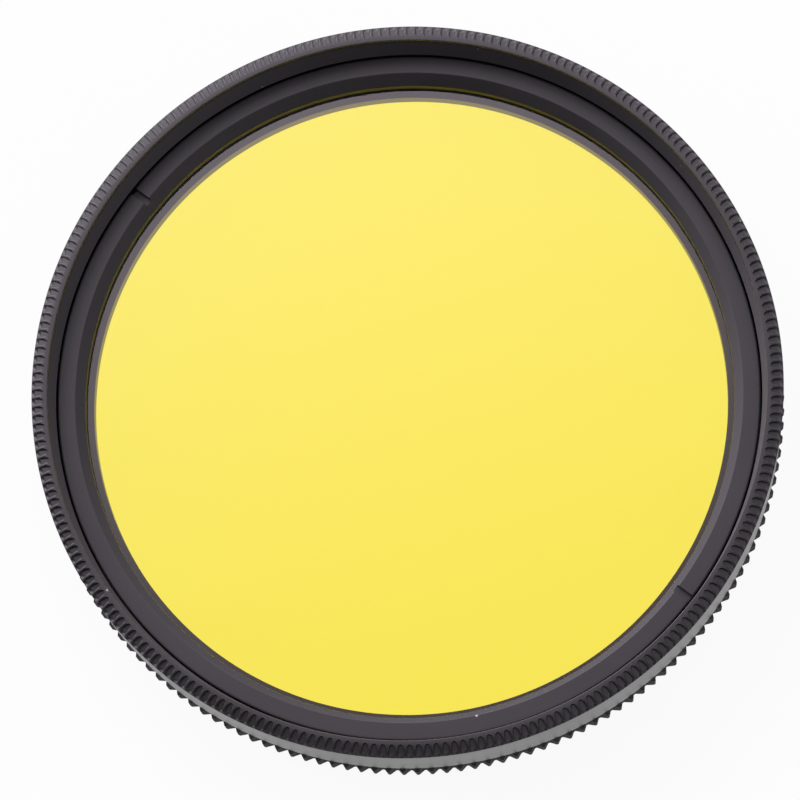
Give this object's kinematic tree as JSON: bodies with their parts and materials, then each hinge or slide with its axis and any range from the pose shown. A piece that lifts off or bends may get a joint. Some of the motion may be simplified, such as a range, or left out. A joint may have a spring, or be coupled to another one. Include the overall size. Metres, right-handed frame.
{
  "type": "colour filter",
  "caption": "Round yellow colour filter in a black slim rotating ring mount with a serrated front edge, knurled rear ring and male screw thread.",
  "frame": {"origin": "on the optical axis, at the level of the end of the male thread, which the part lies on", "axes": "+Z along the optical axis, out of the front of the filter"},
  "size_m": [0.0554, 0.0554, 0.0104],
  "materials": {
    "anodised_rear": "black anodised, satin",
    "anodised_front": "black anodised, satin, fine turned",
    "yellow_glass": "clear yellow, polished, coated",
    "anodised_holder": "black anodised, satin, turned face",
    "spring_steel": "plain spring wire"
  },
  "bodies": {
    "mount": {"mount_ring": "anodised_rear", "spring_wire": "spring_steel"},
    "front": {"front_ring": "anodised_front", "filter_glass": "yellow_glass", "retaining_ring": "anodised_holder"}
  },
  "joints": [
    {"name": "ring_turn", "type": "hinge", "parent": "mount", "child": "front", "pos_m": [0, 0, 0.0041], "axis": [0, 0, 1], "continuous": true}
  ]
}
